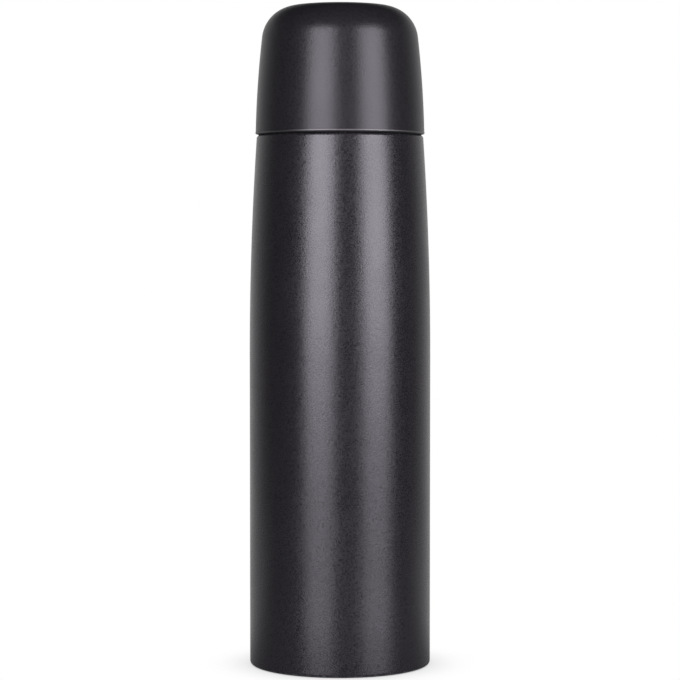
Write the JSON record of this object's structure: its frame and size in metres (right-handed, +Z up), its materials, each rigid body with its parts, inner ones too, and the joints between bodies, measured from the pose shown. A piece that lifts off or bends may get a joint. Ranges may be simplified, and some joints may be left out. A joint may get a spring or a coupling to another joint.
{
  "type": "vacuum flask",
  "caption": "Double-walled steel vacuum flask with a tapered shoulder, a push-button pouring stopper and a screw-on drinking cup.",
  "frame": {"origin": "centre of the face that the flask stands on", "axes": "+Z up along the flask's axis, +X towards the stopper's release tab, which the closed cup hides"},
  "size_m": [0.068, 0.068, 0.2481],
  "materials": {
    "charcoal_coat": "matte, fine-textured powder coat",
    "cup_coat": "matte, smooth",
    "bare_steel": "brushed",
    "polished_steel": "satin, spun",
    "foil": "bright foil",
    "solder_glass": "glazed",
    "getter_grey": "sintered",
    "black_plastic": "fine moulded",
    "grey_plastic": "fine moulded",
    "liner_plastic": "smooth moulded",
    "clear_silicone": "translucent matte",
    "black_silicone": "matte",
    "spring_steel": "drawn wire"
  },
  "bodies": {
    "flask": {"outer_shell": "charcoal_coat", "outer_base": "bare_steel", "base_cover": "polished_steel", "vacuum_seal": "solder_glass", "getter_holder": "bare_steel", "getter_pill": "getter_grey", "inner_vessel": "polished_steel", "inner_bottom": "polished_steel", "radiation_foil": "foil"},
    "stopper_seal": {"stopper_gasket": "clear_silicone"},
    "stopper": {"stopper_body": "black_plastic", "stopper_base": "black_plastic", "button_housing": "black_plastic", "stem_oring": "black_silicone", "button_spring": "spring_steel", "release_spring": "spring_steel"},
    "button": {"push_button": "grey_plastic", "valve_stem": "grey_plastic", "valve_plate": "black_plastic", "valve_seal": "clear_silicone"},
    "release": {"release_slide": "grey_plastic"},
    "cup_seal": {"cup_seat_ring": "black_silicone"},
    "cup": {"cup_outer_shell": "cup_coat", "cup_liner": "liner_plastic"}
  },
  "joints": [
    {"name": "stopper_lift", "type": "slide", "parent": "flask", "child": "stopper_seal", "axis": [0, 0, 1], "range_m": [0, 0.0375]},
    {"name": "stopper_turn", "type": "hinge", "parent": "stopper_seal", "child": "stopper", "pos_m": [0, 0, 0.21], "axis": [0, 0, 1], "range_deg": [0, 2700]},
    {"name": "button_press", "type": "slide", "parent": "stopper", "child": "button", "axis": [0, 0, -1], "range_m": [0, 0.004], "stiffness_N_per_m": 400, "springref_m": -0.005, "deforming": ["button_spring"]},
    {"name": "release_press", "type": "slide", "parent": "stopper", "child": "release", "axis": [-1, 0, 0], "range_m": [0, 0.0015], "stiffness_N_per_m": 150, "springref_m": -0.004},
    {"name": "cup_lift", "type": "slide", "parent": "stopper", "child": "cup_seal", "axis": [0, 0, 1], "range_m": [0, 0.035]},
    {"name": "cup_turn", "type": "hinge", "parent": "cup_seal", "child": "cup", "pos_m": [0, 0, 0.22], "axis": [0, 0, 1], "range_deg": [0, 2520]}
  ],
  "couplings": [
    {"joint": "stopper_lift", "follows": "stopper_turn", "m_per_rad": 0.00079577},
    {"joint": "cup_lift", "follows": "cup_turn", "m_per_rad": 0.00079577}
  ]
}
